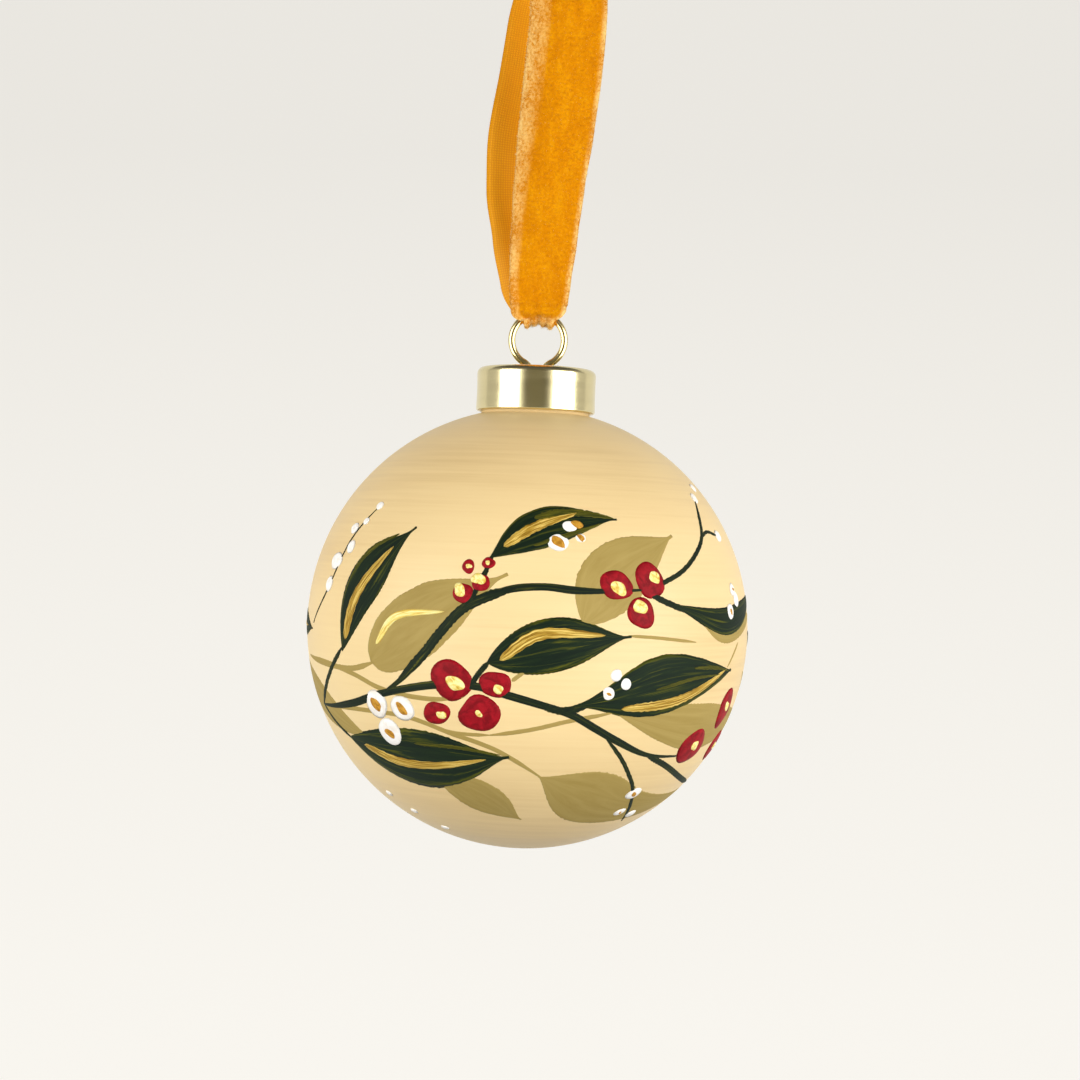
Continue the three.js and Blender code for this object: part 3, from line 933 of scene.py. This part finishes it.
class Cloth:
    """Gathers bands of ribbon into one mesh: outer faces carry the pile, inner ones the woven back."""

    def __init__(self):
        self.points, self.faces, self.places, self.pale, self.back = [], [], [], [], []

    def band(self, stations, per_span, ripple, slant, pale_middle=None, seed=0, pile_under=False):
        """A length of ribbon through stations. Ripple is how far it folds where it is gathered, and slant
        how far its cut end is drawn out at one edge; painted sheen lightens the pile near the point given
        after slant."""
        centres = smooth_through([place for place, _, _ in stations], per_span)
        rows = len(centres)
        travelled, before = 0.0, centres[0]
        start = len(self.points)
        for i, centre in enumerate(centres):
            travelled += (centre - before).length
            before = centre
            at = min(i / per_span, len(stations) - 1 - 1e-6)
            k = int(at)
            mix = (1 - math.cos(math.pi * (at - k))) / 2
            width = stations[k][1] * (1 - mix) + stations[k + 1][1] * mix
            curl = stations[k][2] * (1 - mix) + stations[k + 1][2] * mix
            curl = math.copysign(max(abs(curl), 1.0), curl)
            along = (centres[min(i + 1, rows - 1)] - centres[max(i - 1, 0)]).normalized()
            side = (Vector((1, 0, 0)) - along * along.x).normalized()
            out = along.cross(side)
            gather = 1 - width / RIBBON_W
            free = min(1, 3 * abs(WIRE_TOP - centre.z) / RIBBON_W)
            # painted sheen: the share of the width along the edge at v = 0 that is painted pale as if the
            # pile caught the light; it widens up the ribbon
            painted_sheen = 0.15 + 0.15 * min(1, max(0, (centre.z + 66 * MM) / (34 * MM)))
            for face in (1, -1):
                for j in range(ACROSS + 1):
                    v = j / ACROSS if face > 0 else 1 - j / ACROSS
                    across = 2 * v - 1
                    thick = RIBBON_T / 2 * (1 - across ** 8) ** 0.5
                    angle = across / 2 * width * curl
                    radius = 1 / curl - face * thick
                    fold = ripple * gather * math.cos(math.pi * 3 * across + seed + travelled * 40)
                    fold += SWAY * math.sin(travelled * 330 + 2.2 * across + seed) * free
                    point = centre + side * radius * math.sin(angle)
                    point += out * (1 / curl - radius * math.cos(angle) + fold)
                    point += along * slant * across * (i / (rows - 1)) ** 3
                    self.points.append(point)
                    self.places.append((travelled / RIBBON_W, v))
                    # painted sheen along the edge at v = 0, plus a thin pale line at v = 1 for the paler
                    # selvedge
                    edge = max(0, 1 - v / painted_sheen) ** 0.6 + 2.5 * max(0, 1 - (1 - v) / 0.08)
                    # painted sheen round the bight, where the pile bends under the wire
                    if pale_middle is not None:
                        edge += 1.6 * max(0, 1 - (centre - pale_middle).length / (2.6 * MM))
                    self.pale.append(min(1, edge))
        ring = 2 * (ACROSS + 1)
        self.faces += skin(start, rows, ring)
        self.back += [j < ACROSS if pile_under else j > ACROSS for j in range(ring)] * (rows - 1)
        for j in range(ACROSS):
            end = start + (rows - 1) * ring
            self.faces.append((start + j, start + j + 1, start + ring - 2 - j, start + ring - 1 - j))
            self.faces.append((end + j, end + ring - 1 - j, end + ring - 2 - j, end + j + 1))
            self.back += [True, True]

    def wrap(self, middle, wide, deep, high, tilt, thick, tucked, seed):
        """One drawn turn of the knot: a pleated band round an oval, closed on itself and narrow where it
        tucks under the turn it crosses. Lengths are in mm and the tilt in degrees."""
        spin = Matrix.Rotation(math.radians(tilt), 3, "Y")
        around, across = 84, 36
        start = len(self.points)
        for i in range(around):
            a = 2 * math.pi * i / around
            half = high * (0.76 + 0.24 * math.cos(a - tucked))
            for j in range(across):
                b = 2 * math.pi * j / across
                over = math.sin(b)
                off = thick * math.cos(b) + 0.34 * thick * math.cos(7 * over + seed + 1.5 * math.sin(a))
                off += 0.9 * (1 - over * over) + 0.25 * math.sin(3 * a + seed)
                ring = Vector((math.cos(a) * (wide + off), math.sin(a) * (deep + off),
                               half * over + 0.7 * math.sin(2 * a + seed)))
                self.points.append(middle + spin @ (ring * MM))
                self.places.append((6 * i / around, j / across))
                # painted sheen along the two folded edges of each turn
                self.pale.append(0.9 * max(0, abs(over) - 0.86) / 0.14)
        self.faces += skin(start, around, across, closed=True)
        self.back += [False] * (around * across)

    def finish(self, name, pile, weave, body, slot):
        """The ribbon as one piece, with the pile's cloth on its outer faces and the weave inside."""
        mesh = mesh_with_places(name, self.points, self.faces, self.places)
        mesh.attributes.new("pale", "FLOAT", "POINT").data.foreach_set("value", self.pale)
        piece = add_piece(name, mesh, pile, body)
        mesh.materials.append(weave)
        mesh.polygons.foreach_set("material_index", [int(back) for back in self.back])
        return piece


def velvet_material():
    """Cut pile: deep amber between the tufts, flecked pale where the ribbon carries painted sheen and along
    its paler selvedge.
    """
    material, tree, shader = plain("amber_velvet", (0.76, 0.26, 0.001), 0.9, Specular_IOR_Level=0.03,
                                   Sheen_Weight=0.2, Sheen_Roughness=0.4, Sheen_Tint=(1, 0.55, 0.08, 1))
    coord = node(tree, "ShaderNodeTexCoord")
    lie = node(tree, "ShaderNodeMapping", Scale=(1, 1, 0.4))
    tufts = node(tree, "ShaderNodeTexNoise", Scale=1900, Detail=3, Roughness=0.7)
    drifts = node(tree, "ShaderNodeTexNoise", Scale=420, Detail=4, Roughness=0.65)
    amber_ramp = ramp_node(tree, [(0.38, (0.60, 0.200, 0.0004)), (0.50, (0.68, 0.245, 0.0006)),
                                  (0.62, (0.77, 0.32, 0.002))])
    mix = maths(tree, "MULTIPLY_ADD", 0.45)
    part = maths(tree, "MULTIPLY", 0.55)
    # the ribbon's painted sheen and paler selvedge, read from its points
    pale = node(tree, "ShaderNodeAttribute")
    pale.attribute_name = "pale"
    broken = maths(tree, "MULTIPLY")
    flecks = node(tree, "ShaderNodeMapRange", From_Min=0.43, From_Max=0.60, To_Min=0.05, To_Max=0.95)
    # the pale colour of the painted sheen and selvedge, mixed over the amber in flecks
    painted_sheen = node(tree, "ShaderNodeMixRGB", Color2=(0.93, 0.66, 0.25, 1))
    bump = node(tree, "ShaderNodeBump", Strength=0.6, Distance=0.00025)
    join(tree,
         (coord, "Object", tufts, "Vector"),
         (coord, "Object", lie, 0),
         (lie, 0, drifts, "Vector"),
         (tufts, "Fac", part, 0),
         (drifts, "Fac", mix, 0),
         (part, 0, mix, 2),
         (mix, 0, amber_ramp, 0),
         (mix, 0, flecks, "Value"),
         (pale, "Fac", broken, 0),
         (flecks, 0, broken, 1),
         (broken, 0, painted_sheen, 0),
         (amber_ramp, 0, painted_sheen, 1),
         (painted_sheen, 0, shader, "Base Color"),
         (tufts, "Fac", bump, "Height"),
         (bump, 0, shader, "Normal"))
    return material


def woven_material():
    """The ribbon's smooth back: a close plain weave, seen as fine crossing ribs."""
    material, tree, shader = plain("amber_weave", (0.80, 0.30, 0.001), 0.6, Specular_IOR_Level=0.2,
                                   Sheen_Weight=0.2, Sheen_Tint=(1, 0.6, 0.1, 1))
    marks = node(tree, "ShaderNodeUVMap")
    marks.uv_map = "UVMap"
    warp = node(tree, "ShaderNodeTexWave", Scale=10, Distortion=0.4)
    warp.bands_direction = "Y"
    weft = node(tree, "ShaderNodeTexWave", Scale=12, Distortion=0.4)
    cross = maths(tree, "MULTIPLY")
    colour = ramp_node(tree, [(0.0, (0.76, 0.29, 0.0008)), (0.6, (0.88, 0.40, 0.002))])
    bump = node(tree, "ShaderNodeBump", Strength=0.35, Distance=0.0001)
    join(tree,
         (marks, 0, warp, "Vector"),
         (marks, 0, weft, "Vector"),
         (warp, "Fac", cross, 0),
         (weft, "Fac", cross, 1),
         (cross, 0, colour, 0),
         (colour, 0, shader, "Base Color"),
         (cross, 0, bump, "Height"),
         (bump, 0, shader, "Normal"))
    return material


cloth = Cloth()
bight = Vector((0, 0, WIRE_TOP - WRAP_R))
cloth.band(LOOP_STATIONS, 9, 0.3 * MM, 0, bight)
for side in (-1, 1):
    cloth.band(tail_stations(side), 10, 0.6 * MM, side * 2.2 * MM, None, side, side < 0)
cloth.wrap(KNOT_MIDDLE + Vector((0, 0, 0.3)) * MM, 4.9, 2.7, 3.9, 30, 0.9, 1.2, 0.6)
cloth.wrap(KNOT_MIDDLE + Vector((0.2, 0.1, -0.9)) * MM, 4.5, 2.3, 3.5, -38, 0.9, 3.6, 2.1)
cloth.wrap(KNOT_MIDDLE, 1.9, 1.3, 4.2, 4, 1.5, 0, 1.3)
ribbon = cloth.finish("velvet_ribbon", velvet_material(), woven_material(), "ribbon", "velvet")
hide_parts("ribbon_loop", "ribbon_knot", "ribbon_tail_front", "ribbon_tail_back")


PILE_SIZES = {
    "Fibres per m2": 9.0e6,
    "Fibre length": 0.42 * MM,
    "Fibre radius": 0.04 * MM,
    "Lean": 0.5,
    "Seed": 5,
}


def pile_tree(material):
    """Geometry Nodes: short tapered fibres that stand on the pile faces, leaning a little at random."""
    tree = bpy.data.node_groups.new("velvet_pile", "GeometryNodeTree")
    face = tree.interface
    face.new_socket("Geometry", in_out="INPUT", socket_type="NodeSocketGeometry")
    for label in ("Fibres per m2", "Fibre length", "Fibre radius", "Lean"):
        face.new_socket(label, in_out="INPUT", socket_type="NodeSocketFloat")
    face.new_socket("Seed", in_out="INPUT", socket_type="NodeSocketInt")
    face.new_socket("Geometry", in_out="OUTPUT", socket_type="NodeSocketGeometry")
    given = node(tree, "NodeGroupInput")
    out = node(tree, "NodeGroupOutput")
    scatter = node(tree, "GeometryNodeDistributePointsOnFaces")
    index = node(tree, "GeometryNodeInputMaterialIndex")
    is_pile = node(tree, "FunctionNodeCompare")
    is_pile.data_type = "INT"
    is_pile.operation = "EQUAL"
    is_pile.inputs["B"].default_value = 0
    fibre = node(tree, "GeometryNodeMeshCone", Vertices=3, Radius_Top=0)
    fibre.fill_type = "NGON"
    place = node(tree, "GeometryNodeInstanceOnPoints")
    lean = node(tree, "FunctionNodeRandomValue")
    lean.data_type = "FLOAT_VECTOR"
    other_way = maths(tree, "MULTIPLY", -1)
    turn = node(tree, "FunctionNodeRotateEuler")
    turn.rotation_type = "EULER"
    turn.space = "LOCAL"
    size = node(tree, "FunctionNodeRandomValue")
    size.inputs["Min"].default_value = 0.55
    size.inputs["Max"].default_value = 1.15
    real = node(tree, "GeometryNodeRealizeInstances")
    dress = node(tree, "GeometryNodeSetMaterial", Material=material)
    join(tree,
         (given, "Geometry", scatter, "Mesh"),
         (given, "Fibres per m2", scatter, "Density"),
         (given, "Seed", scatter, "Seed"),
         (index, 0, is_pile, "A"),
         (is_pile, 0, scatter, "Selection"),
         (given, "Fibre length", fibre, "Depth"),
         (given, "Fibre radius", fibre, "Radius Bottom"),
         (given, "Lean", other_way, 0),
         (other_way, 0, lean, "Min"),
         (given, "Lean", lean, "Max"),
         (scatter, "Points", place, "Points"),
         (fibre, "Mesh", place, "Instance"),
         (scatter, "Rotation", turn, "Rotation"),
         (lean, 0, turn, "Rotate By"),
         (turn, 0, place, "Rotation"),
         (size, 1, place, "Scale"),
         (place, 0, real, 0),
         (real, 0, dress, 0),
         (dress, 0, out, 0))
    return tree


def grow_pile(mesh, material):
    """The pile's fibres as a plain mesh, grown by Geometry Nodes on a copy of the ribbon's mesh."""
    bed = bpy.data.objects.new("pile_bed", mesh.copy())
    scene.collection.objects.link(bed)
    grower = bed.modifiers.new("pile", "NODES")
    grower.node_group = pile_tree(material)
    for socket in grower.node_group.interface.items_tree:
        if socket.name in PILE_SIZES:
            grower[socket.identifier] = PILE_SIZES[socket.name]
    grown = bpy.data.meshes.new_from_object(bed.evaluated_get(bpy.context.evaluated_depsgraph_get()))
    bpy.data.objects.remove(bed)
    return grown


def fibre_material():
    """The tips of the pile, brighter than the cloth below and palest on the painted sheen and the selvedge.
    """
    material, tree, shader = plain("amber_fibre", (0.86, 0.34, 0.01), 0.8, Specular_IOR_Level=0.1,
                                   Sheen_Weight=0.25, Sheen_Tint=(1, 0.65, 0.2, 1))
    coord = node(tree, "ShaderNodeTexCoord")
    speck = node(tree, "ShaderNodeTexNoise", Scale=2400, Detail=2)
    # the ribbon's painted sheen and selvedge, read from its points
    pale = node(tree, "ShaderNodeAttribute")
    pale.attribute_name = "pale"
    add = maths(tree, "MULTIPLY_ADD", 0.30)
    colour = ramp_node(tree, [(0.38, (0.64, 0.225, 0.0005)), (0.56, (0.80, 0.395, 0.006)),
                              (0.74, (0.97, 0.78, 0.38))])
    join(tree,
         (coord, "Object", speck, "Vector"),
         (pale, "Fac", add, 0),
         (speck, "Fac", add, 2),
         (add, 0, colour, 0),
         (colour, 0, shader, "Base Color"))
    return material


fibres = fibre_material()
pile_mesh = grow_pile(ribbon.data, fibres)
pile_mesh.materials.clear()
pile = add_piece("velvet_pile", pile_mesh, fibres, "ribbon")
